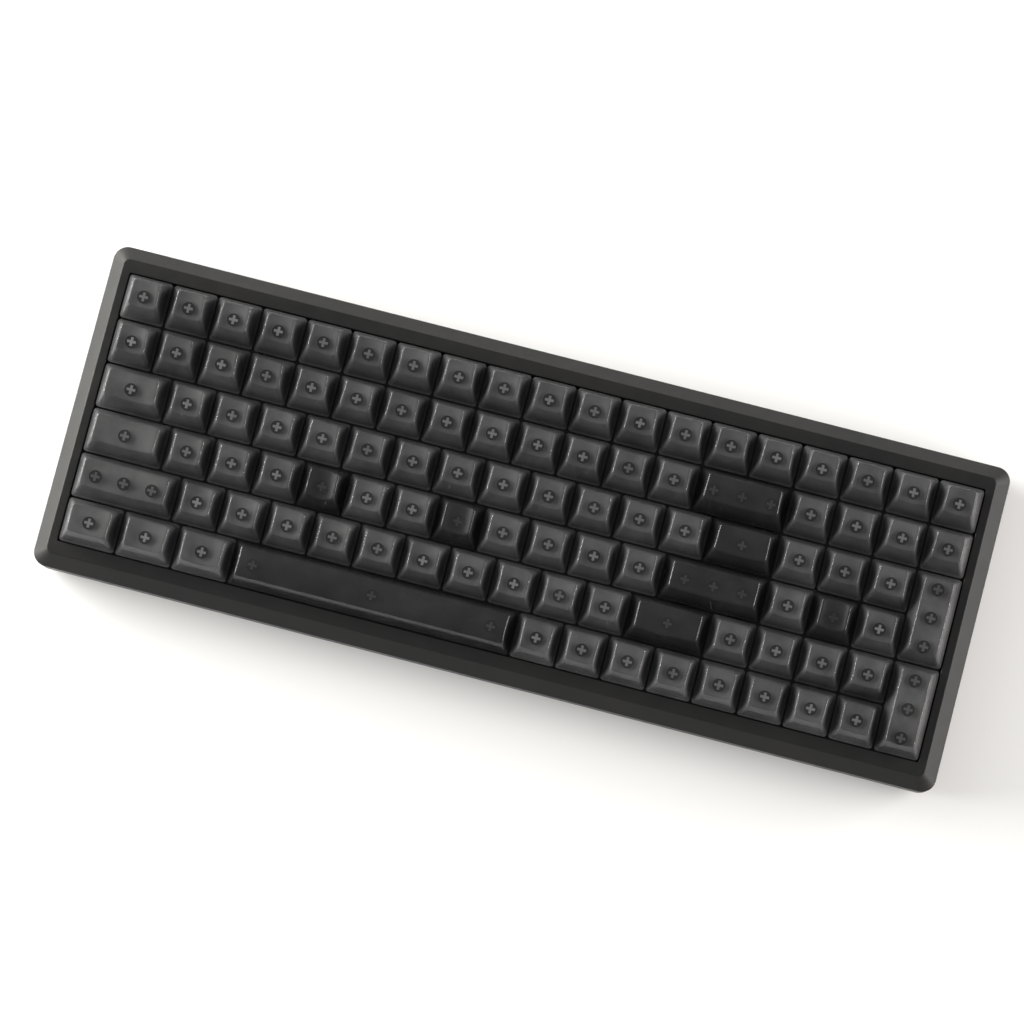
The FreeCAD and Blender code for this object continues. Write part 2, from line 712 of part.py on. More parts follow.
def board_components():
    """A diode for each switch and the controller, under the board."""
    diode = block("diode", ("diode_width", "diode_length", "diode_height"),
                  (*DIODE_PLACE, "-diode_height"))
    chip = block("chip_body", ("chip_side", "chip_side", "chip_height"), (0, 0, "-chip_height"))
    controller = rounded("controller_chip", chip, size("chip_corner"),
                         lambda edge: all(corner.Z < -size("chip_height") / 2
                                          for corner in edge.Vertexes))
    places = [(diode, place) for place in switch_places(board_bottom)]
    copies("board_components", places + [(controller, standing(*spot(*CHIP_PLACE), board_bottom))])


def usb_socket():
    """The socket on the board's rear tab, its mouth level with the wall's inner face."""
    middle = f"({CASE_DEPTH}) / 2 - case_wall - lip_clearance - usb_depth / 2"
    x = "-usb_from_centre"
    shell = block("usb_shell", ("usb_width", "usb_depth", "usb_height"), (x, middle, BOARD_TOP))
    hollow = block("usb_hollow", ("usb_width - 2 * usb_shell", "usb_depth",
                                  "usb_height - 2 * usb_shell"),
                   (x, f"{middle} + usb_back_wall", f"{BOARD_TOP} + usb_shell"))
    tongue = block("usb_tongue", ("usb_tongue_width", "usb_tongue_length + embedding",
                                  "usb_tongue_height"),
                   (x, f"{middle} - usb_depth / 2 + usb_back_wall"
                       " + (usb_tongue_length - embedding) / 2",
                    f"{BOARD_TOP} + usb_height / 2 - usb_tongue_height / 2"))

    def lengthwise(edge):
        return abs(edge.tangentAt(edge.FirstParameter).y) > 0.9

    can = cut("usb_can", rounded("usb_round", shell, size("usb_corner"), lengthwise),
              rounded("usb_round_hollow", hollow, size("usb_corner") - size("usb_shell"), lengthwise))
    return named("usb_socket", join("usb_socket", can, tongue))


# ---- the switch -------------------------------------------------------------------------------

# The housing's sides, its flange over the plate and the room inside it.
HOUSING_BODY = "(switch_cutout - cutout_clearance)"
HOUSING_FLANGE = f"({HOUSING_BODY} + 2 * flange_overhang)"
HOUSING_CAVITY = f"({HOUSING_BODY} - 2 * housing_side_wall)"


def lower_housing():
    under = "board_to_plate_top"
    body = block("lower_body", (HOUSING_BODY, HOUSING_BODY, under), (0, 0, f"-{under}"))
    flange = block("lower_flange", (HOUSING_FLANGE, HOUSING_FLANGE, "flange_thickness"))
    post = rod("lower_post", "post_radius", "post_length", (0, 0, f"-{under} - post_length"))
    cavity = block("lower_cavity", (HOUSING_CAVITY, HOUSING_CAVITY,
                                    f"{under} + flange_thickness - housing_floor"),
                   (0, 0, f"-{under} + housing_floor"))
    tube = rod("guide_tube", "pole_radius + pole_clearance + tube_wall", "tube_height + embedding",
               (0, 0, f"-{under} + housing_floor - embedding"))
    bore = rod("guide_bore", "pole_radius + pole_clearance",
               "post_length + housing_floor + tube_height - post_tip",
               (0, 0, f"-{under} - post_length + post_tip"))
    pins = [rod(f"housing_pin_hole_{n}", "pin_radius + pin_clearance", "2 * housing_floor",
                (x, y, f"-{under} - housing_floor / 2")) for n, (x, y) in enumerate(SWITCH_PINS)]
    hollow = cut("lower_shell", join("lower_blank", body, flange, post), cavity)
    return cut("lower_housing", join("lower_guided", hollow, tube), bore, *pins)


def upper_housing():
    """A tapered cap that stands on the lower housing's flange, open over the slider."""
    rise = "housing_rise - flange_thickness"
    outside = frustum("upper_outside", even(HOUSING_FLANGE, HOUSING_FLANGE),
                      even("housing_top_width", "housing_top_depth"), rise,
                      (0, 0, "flange_thickness"))
    hollow = frustum("upper_hollow", even(inside(HOUSING_FLANGE, "housing_edge_wall"),
                                          inside(HOUSING_FLANGE, "housing_edge_wall")),
                     even(inside("housing_top_width", "housing_wall"),
                          inside("housing_top_depth", "housing_wall")),
                     f"{rise} - housing_wall", (0, 0, "flange_thickness"))
    mouth = block("slider_mouth", ("slider_width + 2 * slider_clearance",
                                   "slider_depth + 2 * slider_clearance", "housing_rise"),
                  (0, 0, "flange_thickness"))
    return cut("upper_housing", outside, hollow, mouth)


def cross(name, clearance, height, base):
    """A plus-shaped bar."""
    span, arm = f"cross_span + 2 * {clearance}", f"cross_arm + 2 * {clearance}"
    return join(name, block(name + "_across", (span, arm, height), base),
                block(name + "_along", (arm, span, height), base))


# The slider's top face stands just under the housing's top face.
SLIDER_TOP = "housing_rise - slider_clearance"


def slider():
    """The sliding stem: a cross over a hollow block with two wings, and a pole down its middle."""
    foot = f"{SLIDER_TOP} - slider_height"
    middle = block("slider_block", ("slider_width", "slider_depth", "slider_height"), (0, 0, foot))
    wings = block("slider_wings", ("slider_wing", "slider_depth",
                                   "slider_height - housing_wall - slider_clearance"), (0, 0, foot))
    pocket = rod("spring_pocket", "spring_radius + spring_wire / 2 + spring_clearance",
                 "slider_pocket_depth", (0, 0, foot))
    pole = rod("slider_pole", "pole_radius", "pole_length + embedding",
               (0, 0, f"{foot} + slider_pocket_depth - pole_length"))
    head = cross("slider_cross", 0, "cross_height", (0, 0, SLIDER_TOP))
    return join("slider", cut("slider_shell", join("slider_blank", middle, wings), pocket),
                pole, head)


def return_spring():
    """The plain sleeve that the coil fills, from the lower housing's floor to the slider's pocket."""
    low = "-board_to_plate_top + housing_floor"
    length = f"{SLIDER_TOP} - slider_height + slider_pocket_depth - ({low})"
    coil = rod("spring_outside", "spring_radius + spring_wire / 2", length, (0, 0, low))
    inside_coil = rod("spring_inside", "spring_radius - spring_wire / 2", length, (0, 0, low))
    return cut("return_spring", coil, inside_coil)


def contact(number, place):
    """A leaf behind the slider, a strip on the housing's floor and a pin through the board."""
    x, y = place
    floor = "-board_to_plate_top + housing_floor"
    leaf_y = "slider_depth / 2 + contact_set_back + contact_thickness / 2"
    leaf = block(f"contact_leaf_{number}", ("contact_width", "contact_thickness", "contact_height"),
                 (x, leaf_y, floor))
    strip = block(f"contact_strip_{number}",
                  ("2 * pin_radius", f"abs({leaf_y} - {y}) + contact_thickness",
                   "contact_thickness"), (x, f"({leaf_y} + {y}) / 2", floor))
    pin = rod(f"contact_pin_{number}", "pin_radius", "pin_length",
              (x, y, f"{floor} - pin_length + contact_thickness"))
    return join(f"contact_{number}", leaf, strip, pin)


def switches():
    """One master of each piece of a switch, then a copy under every key."""
    lower, upper, spring = lower_housing(), upper_housing(), return_spring()
    places = switch_places(plate_top)
    copies("switch_lower_housings", [(lower, place) for place in places])
    copies("switch_upper_housings", [(upper, place) for place in places])
    copies("switch_springs", [(spring, place) for place in places])
    leaves = [contact(n, place) for n, place in enumerate(SWITCH_PINS)]
    copies("switch_contacts", [(leaf, place) for place in places for leaf in leaves])


# ---- stabilisers ------------------------------------------------------------------------------

# the width of an insert's slot round the wire
WIRE_SLOT = "(2 * (wire_radius + wire_side_clearance))"


def stabiliser_housing():
    body = block("stabiliser_body", ("stabiliser_width", "stabiliser_depth",
                                     "board_to_plate_top + stabiliser_rise"),
                 (0, 0, "-board_to_plate_top"))
    well = block("stabiliser_well", ("insert_width + 2 * stabiliser_clearance",
                                     "insert_depth + 2 * stabiliser_clearance",
                                     "board_to_plate_top + stabiliser_rise + overshoot"),
                 (0, 0, "-board_to_plate_top"))
    slot = block("stabiliser_slot",
                 (f"{WIRE_SLOT} + 2 * stabiliser_clearance", "stabiliser_depth / 2 + overshoot",
                  "board_to_plate_top + stabiliser_rise + overshoot"),
                 (0, "-(stabiliser_depth / 2 + overshoot) / 2", "-board_to_plate_top"))
    return cut("stabiliser_housing", body, well, slot)


def stabiliser_insert():
    """The slider that a long keycap's side boss presses onto, slotted for the wire's end."""
    low = "-insert_drop"
    body = block("insert_body", ("insert_width", "insert_depth", f"{SLIDER_TOP} + insert_drop"),
                 (0, 0, low))
    slot = block("insert_slot", (WIRE_SLOT, "insert_depth / 2 + overshoot + wire_end_room",
                                 "wire_slot_height + overshoot"),
                 (0, "(wire_end_room - insert_depth / 2 - overshoot) / 2", f"{low} - overshoot"))
    return join("stabiliser_insert", cut("insert_slotted", body, slot),
                cross("insert_cross", 0, "cross_height", (0, 0, SLIDER_TOP)))


def stabiliser_wire(key):
    """A bar in front of the housings with an arm rising back into each insert."""
    x, y, wide, deep, _ = KEYS[key]
    reach, radius, arm = stabiliser_reach(key), size("wire_radius"), size("wire_arm")
    height, rise = -size("wire_drop"), size("wire_rest_rise")
    bend = 2 * radius
    corners = [Vector(-reach, 0, height + rise), Vector(-reach, -arm, height),
               Vector(reach, -arm, height), Vector(reach, 0, height + rise)]
    edges, start = [], corners[0]
    for before, corner, after in zip(corners, corners[1:], corners[2:]):
        inward, outward = (corner - before).normalize(), (after - corner).normalize()
        angle = inward.getAngle(outward)
        back = bend * math.tan(angle / 2)
        first, last = corner - inward * back, corner + outward * back
        middle = corner + (outward - inward).normalize() * (bend / math.cos(angle / 2) - bend)
        edges += [Part.LineSegment(start, first).toShape(), Part.Arc(first, middle, last).toShape()]
        start = last
    edges.append(Part.LineSegment(start, corners[-1]).toShape())
    direction = corners[1] - corners[0]
    section = Part.Wire(Part.Circle(corners[0], direction, radius).toShape())
    made = doc.addObject("Part::Feature", f"{key}_stabiliser_wire")
    made.Shape = Part.Wire(edges).makePipeShell([section], True, True)
    made.Placement = standing(x, y, plate_top, -90 if deep > wide else 0)
    return named(f"{key}_wire", made)


# ---- keycaps ----------------------------------------------------------------------------------

def cap_sides(units_wide, units_deep, insets, wall):
    """(left, right, front, rear) of a cap's section; insets are those of side, front and rear."""
    side, front, rear = insets
    half_width = f"(key_pitch * {units_wide} - key_gap) / 2 - {wall}"
    half_depth = f"(key_pitch * {units_deep} - key_gap) / 2 - {wall}"
    return (f"{half_width} - ({side})", f"{half_width} - ({side})",
            f"{half_depth} - ({front})", f"{half_depth} - ({rear})")


def dish(name, height, tilt, depth, units_wide, rise=False):
    """What is cut off a crown: a wide cylinder along the key, or all but one for a domed crown."""
    half = (pitch * units_wide - size("key_gap")) / 2 - size("crown_side_inset")
    length = 3 * pitch
    if rise:
        half = pitch / 2 - size("crown_side_inset")
    radius = (half ** 2 + depth ** 2) / (2 * depth)
    made = doc.addObject("Part::Cylinder", name)
    made.Radius, made.Height = radius, length
    if not rise:
        made.Placement = Placement(Vector(0, 0, height), Rotation(Vector(1, 0, 0), tilt)).multiply(
            Placement(Vector(0, length / 2, radius), Rotation(Vector(1, 0, 0), 90)))
        return made
    long = pitch * (units_wide + 1)
    made.Height = long
    made.Placement = Placement(Vector(-long / 2, 0, height - radius), Rotation(Vector(0, 1, 0), 90))
    above = doc.addObject("Part::Box", name + "_above")
    above.Length, above.Width, above.Height = long, length, radius
    above.Placement = Placement(Vector(-long / 2, -length / 2, height - 3 * depth), Rotation())
    return cut(name + "_shaving", above, made)


def keycap(name, profile, units_wide, units_deep, homing=False):
    """A hollow cap over z = 0 at its skirt, with a boss for each cross under it."""
    height, tilt, front, rear = ROW_PROFILES[profile]
    is_space = units_wide > 3
    if units_deep > 1:
        tilt = 0.0
    crown = f"{height} + crown_allowance"
    insets = ("crown_side_inset", front, rear)
    blank = frustum(name + "_blank", cap_sides(units_wide, units_deep, (0, 0, 0), 0),
                    cap_sides(units_wide, units_deep, insets, 0), crown)
    round_blank = rounded(name + "_round", blank, size("cap_corner"),
                          lambda edge: abs(edge.tangentAt(edge.FirstParameter).z) > 0.5)
    # the hollow keeps to the outside's slope, so its insets shrink with its height
    inner = f"({height} - cap_roof)"
    shrunk = [f"({inset}) * {inner} / ({crown})" for inset in insets]
    hollow = frustum(name + "_hollow", cap_sides(units_wide, units_deep, (0, 0, 0), "cap_wall"),
                     cap_sides(units_wide, units_deep, shrunk, "cap_wall"), inner)
    if is_space:
        depth = size("space_crown_rise")
    else:
        depth = size("homing_dish_depth" if homing else "dish_depth")
        height += size("dish_depth") - depth
    shell = cut(name + "_shell", round_blank,
                dish(name + "_dish", height, tilt, depth, units_wide, is_space), hollow)
    offsets = [0.0]
    if max(units_wide, units_deep) >= 2:
        reach = size("long_stabiliser_reach" if is_space else "short_stabiliser_reach")
        offsets += [-reach, reach]
    foot = f"{SLIDER_TOP} - cap_above_plate + boss_lift"
    bosses, sockets = [], []
    for n, offset in enumerate(offsets):
        x, y = (0, offset) if units_deep > 1 else (offset, 0)
        bosses.append(rod(f"{name}_boss_{n}", "cross_span / 2 + boss_wall",
                          f"{inner} - ({foot}) + embedding",
                          (x, y, foot)))
        sockets.append(cross(f"{name}_socket_{n}", "cross_clearance",
                             "cross_height + cross_tip_clearance", (x, y, f"{foot} - boss_lift")))
    return cut(name, join(name + "_bossed", shell, *bosses), *sockets)


def key_nodes():
    """The keycap and slider of every key, gathered into the nodes that move on their own."""
    stem, insert, caps = slider(), stabiliser_insert(), {}
    cap_level = plate_top + size("cap_above_plate")
    inserts = {key: [] for key in STABILISED}
    for key, place in stabiliser_places(plate_top):
        inserts[key].append((insert, place))
    pieces = {}
    for key, (x, y, wide, deep, profile) in KEYS.items():
        kind = (profile, wide, deep, key in HOMING_KEYS)
        if kind not in caps:
            caps[kind] = keycap(f"cap_{len(caps)}", *kind)
        pieces[key] = [(caps[kind], standing(x, y, cap_level)), (stem, standing(x, y, plate_top))]
        pieces[key] += inserts.get(key, [])
    for key in SINGLE_KEYS:
        copies(f"key_{key}", pieces[key])
    for group, keys in KEY_GROUPS.items():
        copies(group, [piece for key in keys for piece in pieces[key]])


# ---- screws -----------------------------------------------------------------------------------

def screw(name, radius, length, head_radius, head, turned):
    """A pan-head screw with a square recess; turned has its head below."""
    shank = rod(name + "_shank", radius, f"{length} + embedding", (0, 0, f"-({length})"))
    top = rod(name + "_head", head_radius, head)
    recess = block(name + "_recess", ("screw_socket_radius * 2", "screw_socket_radius * 2", head),
                   (0, 0, f"({head}) / 2"))
    made = cut(name, join(name + "_blank", shank, top), recess)
    turn = Placement(Vector(), Rotation(Vector(1, 0, 0), 180 if turned else 0))
    return made, turn


def screws():
    case, flip = screw("case_screw", "case_screw_radius", "case_screw_length",
                       "case_screw_head_radius", "case_screw_head", True)
    y, seat, _ = worked_out(RAIL_MIDDLE, "foot_pad_height + case_screw_head + screw_clearance",
                            "case_screw_length")
    copies("case_screws", [
        (case, standing(sx * x, sy * y, seat).multiply(flip))
        for x in CASE_SCREWS_FROM_CENTRE for sx in (-1, 1) for sy in (-1, 1)])
    board, _ = screw("board_screw", "board_screw_radius", "board_screw_length",
                     "board_screw_head_radius", "board_screw_head", False)
    copies("board_screws", [(board, standing(*spot(*place), board_top)) for place in BOARD_SCREWS])


# ---- the whole keyboard -----------------------------------------------------------------------

def build():
    top_frame()
    bottom_case()
    rubber_feet()
    tilt_foot("left_tilt_foot", -1)
    tilt_foot("right_tilt_foot", 1)
    switch_plate()
    circuit_board()
    board_components()
    usb_socket()
    switches()
    copies("stabiliser_housings",
           [(housing, place) for housing in [stabiliser_housing()]
            for _, place in stabiliser_places(plate_top)])
    for key in STABILISED:
        stabiliser_wire(key)
    key_nodes()
    screws()
    doc.recompute()


def write():
    for thing in doc.Objects:
        wrong = [state for state in thing.State if state in ("Invalid", "Error")]
        if wrong:
            raise RuntimeError(f"{thing.Name}: {wrong}")
    os.makedirs("parts", exist_ok=True)
    for label, thing in sub_parts.items():
        if thing.Shape.isNull() or not thing.Shape.isValid() or not thing.Shape.Solids:
            raise RuntimeError(f"{label} has no valid solid")
        thing.Shape.exportStep(os.path.join("parts", label + ".step"))


build()
write()
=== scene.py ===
"""A compact full-size mechanical keyboard with smoky see-through keycaps in a matt black case."""

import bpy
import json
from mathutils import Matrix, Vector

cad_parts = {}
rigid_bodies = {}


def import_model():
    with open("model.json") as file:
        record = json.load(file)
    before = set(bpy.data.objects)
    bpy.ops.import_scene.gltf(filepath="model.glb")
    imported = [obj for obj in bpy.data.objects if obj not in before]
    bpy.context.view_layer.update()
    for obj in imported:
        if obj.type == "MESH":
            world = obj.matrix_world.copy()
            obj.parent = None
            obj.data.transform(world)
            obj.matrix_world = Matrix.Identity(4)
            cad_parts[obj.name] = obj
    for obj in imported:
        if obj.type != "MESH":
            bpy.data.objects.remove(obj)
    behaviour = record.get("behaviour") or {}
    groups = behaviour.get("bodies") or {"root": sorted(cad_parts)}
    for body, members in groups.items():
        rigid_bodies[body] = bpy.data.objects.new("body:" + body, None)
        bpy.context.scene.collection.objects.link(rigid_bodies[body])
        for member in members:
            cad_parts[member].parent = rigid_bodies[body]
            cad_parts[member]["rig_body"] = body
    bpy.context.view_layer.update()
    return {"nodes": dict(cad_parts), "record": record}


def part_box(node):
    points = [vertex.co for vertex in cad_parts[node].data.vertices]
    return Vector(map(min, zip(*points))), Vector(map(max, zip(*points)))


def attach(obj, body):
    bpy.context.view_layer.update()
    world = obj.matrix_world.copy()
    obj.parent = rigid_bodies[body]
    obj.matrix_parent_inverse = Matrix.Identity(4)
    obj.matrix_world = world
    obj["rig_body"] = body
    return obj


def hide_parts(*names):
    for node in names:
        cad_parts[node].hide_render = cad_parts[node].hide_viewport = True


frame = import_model()

import json
import math
from math import cos, radians, sin, sqrt

import bmesh
import bpy
from mathutils import Matrix, Vector

MM = 0.001

# ---- places read from the frame ----------------------------------------------------------------
plate_low, plate_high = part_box("switch_plate")
PLATE_TOP = plate_high.z
FIELD_MIDDLE = (plate_low + plate_high) / 2
Q_BOX, W_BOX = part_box("key_q"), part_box("key_w")
PITCH = (W_BOX[0].x + W_BOX[1].x - Q_BOX[0].x - Q_BOX[1].x) / 2
FIELD_COLUMNS, FIELD_ROWS = 19, 6
KEY_GAP = PITCH - (Q_BOX[1].x - Q_BOX[0].x)

# ---- the keycaps' sizes ------------------------------------------------------------------------
SKIRT_LEVEL = PLATE_TOP + 6.1 * MM
CROWN_ALLOWANCE = 1.5 * MM
CROWN_SIDE_INSET = 3.5 * MM
DISH_DEPTH = 0.8 * MM
HOMING_DISH_DEPTH = 1.5 * MM
SPACE_CROWN_RISE = 0.9 * MM
OUTER_CORNER, OUTER_RIM, OUTER_SEGMENTS = 1.25 * MM, 0.85 * MM, 4
INNER_CORNER, INNER_RIM, INNER_SEGMENTS = 0.8 * MM, 0.4 * MM, 2
SKIRT_WALL = 0.9 * MM
WALL_THINNING = 0.45 * MM
ROOF = 1.5 * MM
CROWN_CUTS, WIDE_CROWN_CUTS = 8, 14
BOSS_RADIUS = 2.65 * MM
BOSS_FOOT = 0.4 * MM
BOSS_COVER = 0.35 * MM
CROSS_PROUD = 0.08 * MM
CROSS_SPAN = 3.7 * MM
CROSS_ARM = 1.05 * MM
SLIDER_TOP = PLATE_TOP + 6.4 * MM
SLIDER_SIDES, SLIDER_HEIGHT = (7.2 * MM, 5.6 * MM), 4.9 * MM
INSERT_SIDES, INSERT_HEIGHT = (4.8 * MM, 8.2 * MM), 7.1 * MM
SHORT_REACH = 11.938 * MM
LONG_REACH = 50.0 * MM
STABILISED_UNITS = 2.0
DOMED_UNITS = 3.0

# each row, in millimetres and degrees: height of the dish's lowest line, backward tilt, inset of
# the crown at the front and at the rear
ROW_PROFILES = {
    "function": (10.2, 8.0, 6.2, 2.7),
    "number": (10.2, 8.0, 6.0, 2.7),
    "upper": (9.2, 4.0, 5.8, 2.7),
    "home": (8.7, 0.0, 5.4, 2.8),
    "lower": (8.9, -3.0, 5.0, 2.9),
    "bottom": (9.1, -5.0, 4.7, 3.0),
}
ONE = 1.0


def singles(names):
    return [(name, ONE) for name in names.split()]


# rows from the rear to the front: (key, width in units)
ROWS = {
    "function": singles("esc f1 f2 f3 f4 f5 f6 f7 f8 f9 f10 f11 f12 print delete home end "
                        "page_up page_down"),
    "number": singles("grave 1 2 3 4 5 6 7 8 9 0 minus equals") + [("backspace", 2.0)]
    + singles("num_lock num_divide num_multiply num_minus"),
    "upper": [("tab", 1.5)] + singles("q w e r t y u i o p left_bracket right_bracket")
    + [("backslash", 1.5)] + singles("num_7 num_8 num_9"),
    "home": [("caps_lock", 1.75)] + singles("a s d f g h j k l semicolon quote")
    + [("enter", 2.25)] + singles("num_4 num_5 num_6"),
    "lower": [("left_shift", 2.25)] + singles("z x c v b n m comma period slash")
    + [("right_shift", 1.75)] + singles("up num_1 num_2 num_3"),
    "bottom": [("left_ctrl", 1.25), ("left_win", 1.25), ("left_alt", 1.25), ("space", 6.25)]
    + singles("right_alt fn right_ctrl left down right num_0 num_period"),
}
TALL_KEYS = {"numpad_plus": ("home", 3), "numpad_enter": ("lower", 5)}
HOMING_KEYS = ("f", "j", "num_5")
# caps drawn in a darker colour, their stems too; on the homing keys f, j and num_5 the darker colour is
# painted shade for their deeper dishes
DARKER_CAP_KEYS = "backspace backslash enter right_shift space f j num_5".split()
GROUPS = {
    "modifier_keys": "tab caps_lock left_ctrl left_win left_alt right_alt fn right_ctrl".split(),
    "arrow_keys": "up left down right".split(),
}


def spot(column, row):
    """The place on the field of a point given in units from its rear left corner."""
    return Vector((FIELD_MIDDLE.x + (column - FIELD_COLUMNS / 2) * PITCH,
                   FIELD_MIDDLE.y + (FIELD_ROWS / 2 - row) * PITCH, 0))


def key_places():
    """{key: (place, units wide, units deep, profile)}"""
    found = {}
    for number, (profile, keys) in enumerate(ROWS.items()):
        column = 0.0
        for key, wide in keys:
            found[key] = (spot(column + wide / 2, number + 0.5), wide, 1, profile)
            column += wide
    for key, (profile, boundary) in TALL_KEYS.items():
        found[key] = (spot(FIELD_COLUMNS - 0.5, boundary), 1, 2, profile)
    return found


KEYS = key_places()


def node_of(key):
    """The CAD node that holds a key."""
    if "key_" + key in frame["nodes"]:
        return "key_" + key
    for group, keys in GROUPS.items():
        if key in keys:
            return group
    if key.startswith("num_"):
        return "numpad_keys"
    return "function_row_keys" if KEYS[key][3] == "function" else "number_and_symbol_keys"


# ---- finishes ----------------------------------------------------------------------------------

NOISE_ROUGHNESS = 0.55
DUST_GREY = (0.16, 0.16, 0.16)


class Finish:
    """A material under construction: its nodes, with the shader at hand."""

    def __init__(self, name, colour, rough, **shader):
        self.material = bpy.data.materials.new(name)
        self.material.use_nodes = True
        self.nodes = self.material.node_tree.nodes
        self.links = self.material.node_tree.links
        self.shader = self.nodes["Principled BSDF"]
        self.shader.inputs["Base Color"].default_value = (*colour, 1)
        self.shader.inputs["Roughness"].default_value = rough
        for socket, value in shader.items():
            self.shader.inputs[socket.replace("_", " ")].default_value = value
        self.place = self.nodes.new("ShaderNodeTexCoord").outputs["Object"]

    def noise(self, scale, detail=3.0, stretch=None):
        """A noise in the object's own coordinates, stretched along axes if asked."""
        place = self.place
        if stretch:
            mapping = self.nodes.new("ShaderNodeMapping")
            mapping.inputs["Scale"].default_value = stretch
            self.links.new(place, mapping.inputs["Vector"])
            place = mapping.outputs["Vector"]
        noise = self.nodes.new("ShaderNodeTexNoise")
        noise.inputs["Scale"].default_value = scale
        noise.inputs["Detail"].default_value = detail
        noise.inputs["Roughness"].default_value = NOISE_ROUGHNESS
        self.links.new(place, noise.inputs["Vector"])
        return noise.outputs["Fac"]

    def spread(self, value, low, high, start=0.3, end=0.7):
        """A value from low to high as the noise goes from start to end."""
        ranger = self.nodes.new("ShaderNodeMapRange")
        for socket, number in (("From Min", start), ("From Max", end),
                               ("To Min", low), ("To Max", high)):
            ranger.inputs[socket].default_value = number
        self.links.new(value, ranger.inputs["Value"])
        return ranger.outputs["Result"]

    def blend(self, value, first, second):
        """A colour from the first to the second, each a colour or a socket, as a value rises."""
        mix = self.nodes.new("ShaderNodeMix")
        mix.data_type = "RGBA"
        self.links.new(value, mix.inputs["Factor"])
        for socket, colour in (("A", first), ("B", second)):
            place = [i for i in mix.inputs if i.name == socket and i.type == "RGBA"][0]
            if isinstance(colour, tuple):
                place.default_value = (*colour, 1)
            else:
                self.links.new(colour, place)
        return [o for o in mix.outputs if o.type == "RGBA"][0]

    def soft_edges(self, radius):
        """Light that rounds the sharp edges by a radius."""
        edge = self.nodes.new("ShaderNodeBevel")
        edge.samples = 6
        edge.inputs["Radius"].default_value = radius
        self.links.new(edge.outputs["Normal"], self.shader.inputs["Normal"])

    def feed(self, socket, value):
        self.links.new(value, self.shader.inputs[socket])

    def bump(self, height, depth):
        """Raises the surface by up to a depth, on top of any softened edges."""
        bump = self.nodes.new("ShaderNodeBump")
        bump.inputs["Distance"].default_value = depth
        bump.inputs["Strength"].default_value = 1.0
        self.links.new(height, bump.inputs["Height"])
        if self.shader.inputs["Normal"].is_linked:
            self.links.new(self.shader.inputs["Normal"].links[0].from_socket, bump.inputs["Normal"])
        self.links.new(bump.outputs["Normal"], self.shader.inputs["Normal"])


def moulded(name, dark, light, rough, grain=1800.0, depth=0.02 * MM, edge=0.0, patches=22.0,
            **shader):
    """Moulded plastic: a slightly uneven colour, a fine spark-eroded grain and uneven gloss."""
    finish = Finish(name, dark, rough, **shader)
    if edge:
        finish.soft_edges(edge)
    finish.feed("Base Color", finish.blend(finish.spread(finish.noise(patches, 4.0), 0, 1), dark, light))
    finish.feed("Roughness", finish.spread(finish.noise(140.0, 3.0), rough - 0.06, rough + 0.06))
    finish.bump(finish.noise(grain, 2.0), depth)
    return finish.material


def case_plastic():
    return moulded("case_plastic", (0.0125, 0.0125, 0.013), (0.0175, 0.017, 0.0165), 0.42,
                   grain=2200.0, depth=0.02 * MM, edge=0.7 * MM, Specular_IOR_Level=0.27)


def smoked_cap(name, colour, rough, alpha):
    """Smoky see-through plastic: faintly hazy, with uneven gloss and a little dust on it."""
    finish = Finish(name, colour, rough, IOR=1.49)
    dust = finish.spread(finish.noise(2600.0, 1.0), 0, 1, 0.75, 0.83)
    haze = finish.spread(finish.noise(70.0, 3.0), 0, 1)
    lighter = tuple(1.7 * channel for channel in colour)
    body = finish.blend(haze, colour, lighter)
    finish.feed("Base Color", finish.blend(dust, body, DUST_GREY))
    finish.feed("Roughness", finish.spread(finish.noise(420.0, 3.0), rough - 0.04, rough + 0.05))
    finish.feed("Alpha", finish.spread(finish.noise(60.0, 2.0), alpha - 0.03, alpha + 0.03))
    return finish.material


def bare_metal(name, colour, rough, stretch):
    """Drawn or rolled metal with fine lines along it."""
    finish = Finish(name, colour, rough, Metallic=1.0)
    lines = finish.noise(900.0, 3.0, stretch=stretch)
    finish.feed("Roughness", finish.spread(lines, rough - 0.08, rough + 0.1))
    finish.bump(lines, 0.004 * MM)
    return finish.material


def powder_coat():
    """Matt black coating with a fine orange-peel texture."""
    finish = Finish("powder_coat", (0.012, 0.012, 0.013), 0.5)
    finish.bump(finish.noise(1300.0, 2.0), 0.03 * MM)
    finish.feed("Roughness", finish.spread(finish.noise(90.0), 0.42, 0.58))
    return finish.material


def solder_mask():
    """Dark green-black lacquer over faint copper tracks."""
    finish = Finish("solder_mask", (0.008, 0.016, 0.012), 0.32)
    tracks = finish.spread(finish.noise(260.0, 0.0, stretch=(1.0, 0.12, 1.0)), 0, 1, 0.52, 0.56)
    finish.feed("Base Color", finish.blend(tracks, (0.006, 0.012, 0.009), (0.014, 0.030, 0.020)))
    finish.bump(tracks, 0.02 * MM)
    return finish.material


def soft_rubber():
    return moulded("soft_rubber", (0.012, 0.012, 0.012), (0.022, 0.021, 0.020), 0.78,
                   grain=900.0, depth=0.04 * MM)


